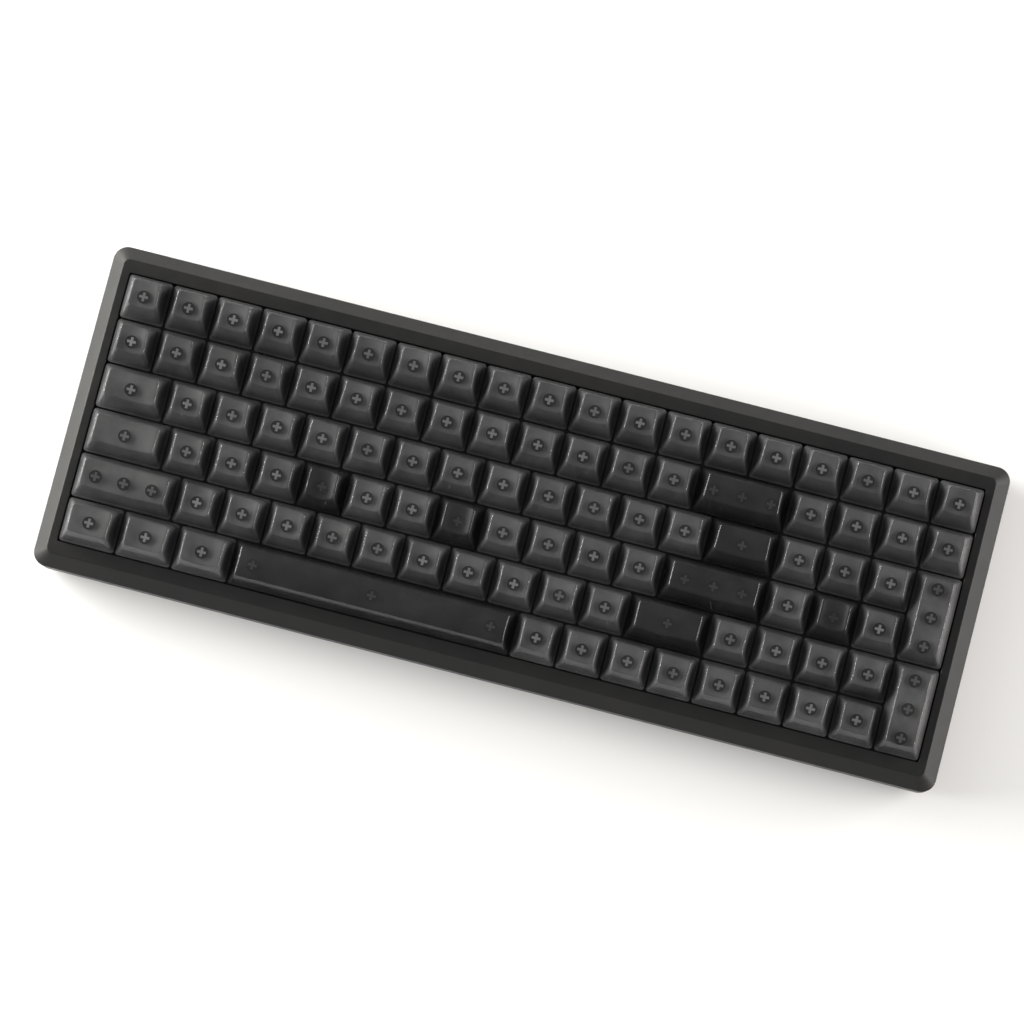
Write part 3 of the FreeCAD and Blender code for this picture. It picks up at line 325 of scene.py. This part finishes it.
FINISHES = {
    "case_plastic": case_plastic(),
    "foot_plastic": moulded("foot_plastic", (0.018, 0.018, 0.018), (0.026, 0.026, 0.025), 0.5),
    "rubber": soft_rubber(),
    "plate_steel": powder_coat(),
    "circuit_board": solder_mask(),
    "component_plastic": moulded("component_plastic", (0.016, 0.016, 0.016),
                                 (0.03, 0.03, 0.03), 0.45, grain=3000.0),
    "socket_steel": bare_metal("socket_steel", (0.62, 0.61, 0.6), 0.28, (0.08, 1, 1)),
    "housing_plastic": moulded("housing_plastic", (0.045, 0.045, 0.047),
                               (0.06, 0.06, 0.062), 0.38),
    "stabiliser_plastic": moulded("stabiliser_plastic", (0.03, 0.03, 0.03),
                                  (0.04, 0.04, 0.04), 0.45),
    "spring_steel": bare_metal("spring_steel", (0.6, 0.6, 0.58), 0.25, (1, 1, 0.1)),
    "contact_brass": bare_metal("contact_brass", (0.76, 0.6, 0.33), 0.3, (1, 1, 0.1)),
    "screw_steel": bare_metal("screw_steel", (0.16, 0.16, 0.165), 0.35, (1, 1, 1)),
}
# a keycap's walls, its crown and its matt inside, for the light-smoke caps and the darker caps: copies
# of one plastic with painted light, the walls lighter, the crown clearer and the inside a pale grey that
# stands in for the light on the crown
LIGHT_SMOKE = (smoked_cap("smoked_keycap", (0.046, 0.046, 0.049), 0.11, 0.55),
               smoked_cap("smoked_keycap_crown", (0.023, 0.023, 0.024), 0.13, 0.42),
               smoked_cap("smoked_keycap_inside", (0.155, 0.155, 0.159), 0.4, 0.76))
# the darker caps' colours; on the homing keys they are painted shade
DARKER_CAP_FINISHES = (smoked_cap("deep_smoked_keycap", (0.018, 0.018, 0.020), 0.15, 0.68),
              smoked_cap("deep_smoked_keycap_crown", (0.013, 0.013, 0.014), 0.22, 0.66),
              smoked_cap("deep_smoked_keycap_inside", (0.042, 0.042, 0.044), 0.4, 0.8))
BOSS = smoked_cap("smoked_keycap_boss", (0.004, 0.004, 0.005), 0.3, 0.97)
STEMS = (moulded("stem_plastic", (0.13, 0.13, 0.132), (0.34, 0.34, 0.345), 0.4, grain=1500.0,
                 depth=0.01 * MM, patches=55.0),
         # a darker stem colour, for stems under the darker caps and under stabilised caps; under the
         # homing keys it is painted shade
         moulded("darker_stem_plastic", (0.09, 0.09, 0.09), (0.17, 0.17, 0.17), 0.4, grain=1500.0,
                 depth=0.01 * MM, patches=55.0))

for entry in frame["record"]["subparts"]:
    slot = entry["material_slot"]
    if slot in FINISHES:
        mesh = frame["nodes"][entry["node"]].data
        mesh.materials.clear()
        mesh.materials.append(FINISHES[slot])


# ---- mesh helpers ------------------------------------------------------------------------------

def block(bm, sides, middle):
    """A box given its three sides and its middle."""
    made = bmesh.ops.create_cube(bm, size=1.0)["verts"]
    bmesh.ops.scale(bm, vec=Vector(sides), verts=made)
    bmesh.ops.translate(bm, vec=Vector(middle), verts=made)
    return made


def post(bm, radius, low, high, middle, segments=24):
    """A round post from low to high."""
    made = bmesh.ops.create_cone(bm, cap_ends=True, segments=segments, radius1=radius,
                                 radius2=radius, depth=high - low)["verts"]
    bmesh.ops.translate(bm, vec=Vector((middle.x, middle.y, (low + high) / 2)), verts=made)
    return made


def edges_of(faces):
    return list({edge for face in faces for edge in face.edges})


def object_from(bm, name, *materials, smooth_under=40.0):
    """A finished mesh object with outward normals, smooth where its faces meet gently."""
    bmesh.ops.recalc_face_normals(bm, faces=bm.faces)
    for face in bm.faces:
        face.smooth = True
    for edge in bm.edges:
        if len(edge.link_faces) == 2 and edge.calc_face_angle(0) > radians(smooth_under):
            edge.smooth = False
    mesh = bpy.data.meshes.new(name)
    bm.to_mesh(mesh)
    bm.free()
    for material in materials:
        mesh.materials.append(material)
    made = bpy.data.objects.new(name, mesh)
    bpy.context.scene.collection.objects.link(made)
    return made


# ---- keycaps -----------------------------------------------------------------------------------

class CapShape:
    """The outside of a cap: a tapered block whose crown is dished, or domed on the space bar."""

    def __init__(self, profile, wide, deep, homing, shrink=0.0, thinning=0.0, roof=0.0):
        height, tilt, front, rear = ROW_PROFILES[profile]
        self.half_width = (PITCH * wide - KEY_GAP) / 2 - shrink
        self.half_depth = (PITCH * deep - KEY_GAP) / 2 - shrink
        self.side = CROWN_SIDE_INSET - thinning
        self.front, self.rear = front * MM - thinning, rear * MM - thinning
        self.domed = wide > DOMED_UNITS
        depth = HOMING_DISH_DEPTH if homing else DISH_DEPTH
        self.lowest = height * MM - (depth - DISH_DEPTH) - roof
        self.slope = 0.0 if deep > 1 else math.tan(radians(tilt))
        self.crown = height * MM + CROWN_ALLOWANCE
        if self.domed:
            depth, half = SPACE_CROWN_RISE, PITCH / 2 - CROWN_SIDE_INSET
        else:
            half = (PITCH * wide - KEY_GAP) / 2 - CROWN_SIDE_INSET
        self.radius = (half ** 2 + depth ** 2) / (2 * depth)

    def surface(self, x, y):
        """The crown's height at a point."""
        if self.domed:
            return self.lowest - self.radius + sqrt(max(0.0, self.radius ** 2 - y ** 2))
        bowl = self.radius - sqrt(max(0.0, self.radius ** 2 - x ** 2))
        return self.lowest + bowl + y * self.slope

    def on_wall(self, across, along, z):
        """The point at a height, from its share of the half width and of the depth."""
        share = z / self.crown
        half = self.half_width - self.side * share
        low = -self.half_depth + self.front * share
        high = self.half_depth - self.rear * share
        return Vector((across * half, low + (along + 1) / 2 * (high - low), z))

    def settle(self, across, along):
        """The point of the crown, where the walls' taper and the dish agree."""
        z = self.lowest
        for _ in range(6):
            point = self.on_wall(across, along, z)
            z = self.surface(point.x, point.y)
        return self.on_wall(across, along, z)


def cap_skin(bm, shape, corner, rim, segments):
    """One skin of a cap, open below: bevelled upright corners and a rounded rim to the crown."""
    made = bmesh.ops.create_cube(bm, size=2.0)
    verts = made["verts"]
    faces = list({face for vert in verts for face in vert.link_faces})
    bottom = [face for face in faces if face.normal.z < -0.5]
    bmesh.ops.delete(bm, geom=bottom, context="FACES_ONLY")
    cuts = CROWN_CUTS if shape.half_width < PITCH else WIDE_CROWN_CUTS
    for number in range(1, cuts):
        across = 2 * number / cuts - 1
        bmesh.ops.bisect_plane(bm, geom=piece_of(bm, verts), dist=1e-7,
                               plane_co=Vector((across, 0, 0)), plane_no=Vector((1, 0, 0)))
    verts = piece_verts(bm, verts)
    for along in ((-0.5, 0.0, 0.5) if shape.domed else ()):
        bmesh.ops.bisect_plane(bm, geom=piece_of(bm, verts), dist=1e-7,
                               plane_co=Vector((0, along, 0)), plane_no=Vector((0, 1, 0)))
        verts = piece_verts(bm, verts)
    upright, around = [], []
    for edge in edges_of({face for vert in verts for face in vert.link_faces}):
        first, last = edge.verts
        if abs(first.co.z - last.co.z) > 1 and abs(first.co.x) > 0.99 and abs(first.co.y) > 0.99:
            upright.append(edge)
        if first.co.z > 0.99 and last.co.z > 0.99:
            if any(abs(face.normal.z) < 0.5 for face in edge.link_faces):
                around.append(edge)
    for vert in verts:
        across, along, level = vert.co
        vert.co = shape.settle(across, along) if level > 0 else shape.on_wall(across, along, 0.0)
    bm.normal_update()
    bmesh.ops.bevel(bm, geom=upright, offset=corner, offset_type="OFFSET", segments=segments,
                    profile=0.5, affect="EDGES", clamp_overlap=True, material=-1)
    crown_rim = [edge for edge in bm.edges if edge.is_valid and on_rim(edge)]
    bmesh.ops.bevel(bm, geom=crown_rim, offset=rim, offset_type="OFFSET", segments=segments,
                    profile=0.5, affect="EDGES", clamp_overlap=True, material=-1)


def piece_verts(bm, verts):
    """Every vertex that hangs together with these."""
    found, reach = set(verts), list(verts)
    while reach:
        for edge in reach.pop().link_edges:
            for vert in edge.verts:
                if vert not in found:
                    found.add(vert)
                    reach.append(vert)
    return list(found)


def piece_of(bm, verts):
    verts = piece_verts(bm, verts)
    faces = {face for vert in verts for face in vert.link_faces}
    edges = {edge for vert in verts for edge in vert.link_edges}
    return [*verts, *edges, *faces]


def on_rim(edge):
    """True where a wall meets the crown."""
    if len(edge.link_faces) != 2:
        return False
    ups = sorted(abs(face.normal.z) for face in edge.link_faces)
    return ups[0] < 0.75 < ups[1]


def cap_template(profile, wide, deep, homing, smoke):
    """A hollow cap round its own axis, with its skirt at z = 0: (mesh, boss places, boss tops).
    smoke is 0 for light and 1 for deep, and picks the materials of walls, crown and inside."""
    first = len(LIGHT_SMOKE) * smoke
    walls, painted_light_crown, painted_light_inside = first, first + 1, first + 2
    boss = len(LIGHT_SMOKE) + len(DARKER_CAP_FINISHES)
    bm = bmesh.new()
    crown = CapShape(profile, wide, deep, homing)
    cap_skin(bm, crown, OUTER_CORNER, OUTER_RIM, OUTER_SEGMENTS)
    bm.normal_update()
    # painted light: faces that look up take the clearer crown copy, the others the lighter wall copy
    for face in bm.faces:
        face.material_index = painted_light_crown if face.normal.z > 0.7 else walls
    inner = bmesh.new()
    hollow = CapShape(profile, wide, deep, homing, SKIRT_WALL, WALL_THINNING, ROOF)
    cap_skin(inner, hollow, INNER_CORNER, INNER_RIM, INNER_SEGMENTS)
    bmesh.ops.reverse_faces(inner, faces=inner.faces)
    # painted light: the inside takes the pale grey copy that stands in for the light on the crown
    for face in inner.faces:
        face.material_index = painted_light_inside
    spare = bpy.data.meshes.new("spare")
    inner.to_mesh(spare)
    inner.free()
    bm.from_mesh(spare)
    bpy.data.meshes.remove(spare)
    open_edges = [edge for edge in bm.edges if edge.is_boundary]
    for face in bmesh.ops.bridge_loops(bm, edges=open_edges)["faces"]:
        face.material_index = painted_light_inside
    reaches = [0.0]
    if max(wide, deep) >= STABILISED_UNITS:
        reach = LONG_REACH if crown.domed else SHORT_REACH
        reaches += [-reach, reach]
    offsets = [Vector((0, r, 0)) if deep > 1 else Vector((r, 0, 0)) for r in reaches]
    tops = [crown.surface(offset.x, offset.y) - BOSS_COVER for offset in offsets]
    for offset, top in zip(offsets, tops):
        for vert in post(bm, BOSS_RADIUS, BOSS_FOOT, top, offset):
            for face in vert.link_faces:
                face.material_index = boss
    bmesh.ops.recalc_face_normals(bm, faces=bm.faces)
    mesh = bpy.data.meshes.new("cap_template")
    bm.to_mesh(mesh)
    bm.free()
    return mesh, offsets, tops


def stem_pieces(bm, place, offsets, tops, smoke):
    """The sliding stem under a cap, and a stabiliser's sliders, each with its cross."""
    before = len(bm.faces)
    for offset, boss_top in zip(offsets, tops):
        x, y = place.x + offset.x, place.y + offset.y
        top = SKIRT_LEVEL + boss_top + CROSS_PROUD
        level, reach = (top + SLIDER_TOP) / 2, (CROSS_SPAN - CROSS_ARM) / 2
        block(bm, (CROSS_SPAN, CROSS_ARM, top - SLIDER_TOP), (x, y, level))
        for side in (-1, 1):
            block(bm, (CROSS_ARM, reach, top - SLIDER_TOP),
                  (x, y + side * (CROSS_ARM + reach) / 2, level))
        if offset.length:
            sides, height = INSERT_SIDES, INSERT_HEIGHT
        else:
            sides, height = SLIDER_SIDES, SLIDER_HEIGHT
        if abs(offset.y) > abs(offset.x):
            sides = sides[::-1]
        block(bm, (*sides, height), (x, y, SLIDER_TOP - height / 2))
    bm.faces.ensure_lookup_table()
    for face in bm.faces[before:]:
        face.material_index = smoke


def make_keys():
    """One piece for the caps and one for the stems of each CAD node of keys."""
    templates, by_node = {}, {}
    for key in KEYS:
        by_node.setdefault(node_of(key), []).append(key)
    for node, keys in by_node.items():
        caps, stems = bmesh.new(), bmesh.new()
        for key in keys:
            place, wide, deep, profile = KEYS[key]
            # painted shade on the homing keys: they take the darker cap and stem colours
            smoke = int(key in DARKER_CAP_KEYS)
            stem_smoke = int(smoke or max(wide, deep) >= STABILISED_UNITS)
            kind = (profile, wide, deep, key in HOMING_KEYS, smoke)
            if kind not in templates:
                templates[kind] = cap_template(*kind)
            template, offsets, tops = templates[kind]
            before = len(caps.verts)
            caps.from_mesh(template)
            caps.verts.ensure_lookup_table()
            bmesh.ops.translate(caps, vec=place + Vector((0, 0, SKIRT_LEVEL)),
                                verts=caps.verts[before:])
            stem_pieces(stems, place, offsets, tops, stem_smoke)
        name = node.removeprefix("key_")
        cap = object_from(caps, "cap_" + name, *LIGHT_SMOKE, *DARKER_CAP_FINISHES, BOSS, smooth_under=50.0)
        stem = object_from(stems, "stem_" + name, *STEMS)
        body = frame["nodes"][node]["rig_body"]
        for piece in (cap, stem):
            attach(piece, body)
            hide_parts(node)
    for template, _, _ in templates.values():
        bpy.data.meshes.remove(template)


# ---- floor, light and camera -------------------------------------------------------------------

def make_floor():
    """A broad, pale, matt floor."""
    bm = bmesh.new()
    bmesh.ops.create_grid(bm, x_segments=1, y_segments=1, size=6.0)
    finish = Finish("floor", (0.93, 0.93, 0.93), 0.9)
    finish.feed("Base Color", finish.blend(finish.spread(finish.noise(2.0), 0, 1),
                                           (0.92, 0.92, 0.92), (0.94, 0.94, 0.94)))
    floor = object_from(bm, "floor", finish.material)


def soft_box(name, place, aim, size, power, colour=(1, 1, 1)):
    """A rectangular light that faces its aim."""
    lamp = bpy.data.lights.new(name, "AREA")
    lamp.shape = "RECTANGLE"
    lamp.size, lamp.size_y = size
    lamp.energy = power
    lamp.color = colour
    holder = bpy.data.objects.new(name, lamp)
    holder.location = place
    holder.rotation_mode = "QUATERNION"
    holder.rotation_quaternion = (Vector(aim) - Vector(place)).to_track_quat("-Z", "Y")
    bpy.context.scene.collection.objects.link(holder)


def make_light():
    """A dim pale room, a broad soft light low on each side, the left one the stronger, and a
    faint one high on the left."""
    bpy.context.scene.view_settings.view_transform = "Standard"
    world = bpy.data.worlds.new("studio")
    world.use_nodes = True
    world.node_tree.nodes["Background"].inputs["Color"].default_value = (0.95, 0.97, 1.0, 1)
    world.node_tree.nodes["Background"].inputs["Strength"].default_value = 0.30
    bpy.context.scene.world = world
    soft_box("left_low", (-1.25, 0.2, 0.33), (0, 0, 0.02), (1.5, 0.5), 56.0, (1.0, 0.99, 0.935))
    soft_box("right_low", (1.35, 0.2, 0.38), (0, 0, 0.02), (1.4, 0.4), 32.0, (1.0, 0.95, 0.90))
    soft_box("left_high", (-1.3, 0.5, 1.25), (0, 0, 0), (1.3, 0.7), 4.0)


# The camera stands almost straight over the keys, a little to the front and right, and its
# picture is turned so that the keyboard lies askew in it.
CAMERA_DISTANCE = 1.6
CAMERA_FRONT_TILT = 5.36
CAMERA_RIGHT_TILT = 2.92
CAMERA_ROLL = 14.62
CAMERA_AIM = Vector((-3.83, 0.66, 20.0)) * MM
CAMERA_LENS = 137.6


def make_camera():
    front, right, roll = (radians(a) for a in (CAMERA_FRONT_TILT, CAMERA_RIGHT_TILT, CAMERA_ROLL))
    back = Vector((sin(right), -sin(front), sqrt(1 - sin(front) ** 2 - sin(right) ** 2)))
    side = Vector((0, 1, 0)).cross(back).normalized()
    up = back.cross(side)
    turned_side = cos(roll) * side + sin(roll) * up
    turned_up = cos(roll) * up - sin(roll) * side
    lens = bpy.data.cameras.new("camera")
    lens.lens = CAMERA_LENS
    lens.sensor_width = 36.0
    camera = bpy.data.objects.new("camera", lens)
    turn = Matrix((turned_side, turned_up, back)).transposed()
    camera.matrix_world = Matrix.Translation(CAMERA_AIM + back * CAMERA_DISTANCE) @ turn.to_4x4()
    bpy.context.scene.collection.objects.link(camera)
    bpy.context.scene.camera = camera


make_camera()
make_keys()
make_floor()
make_light()

bpy.context.view_layer.update()
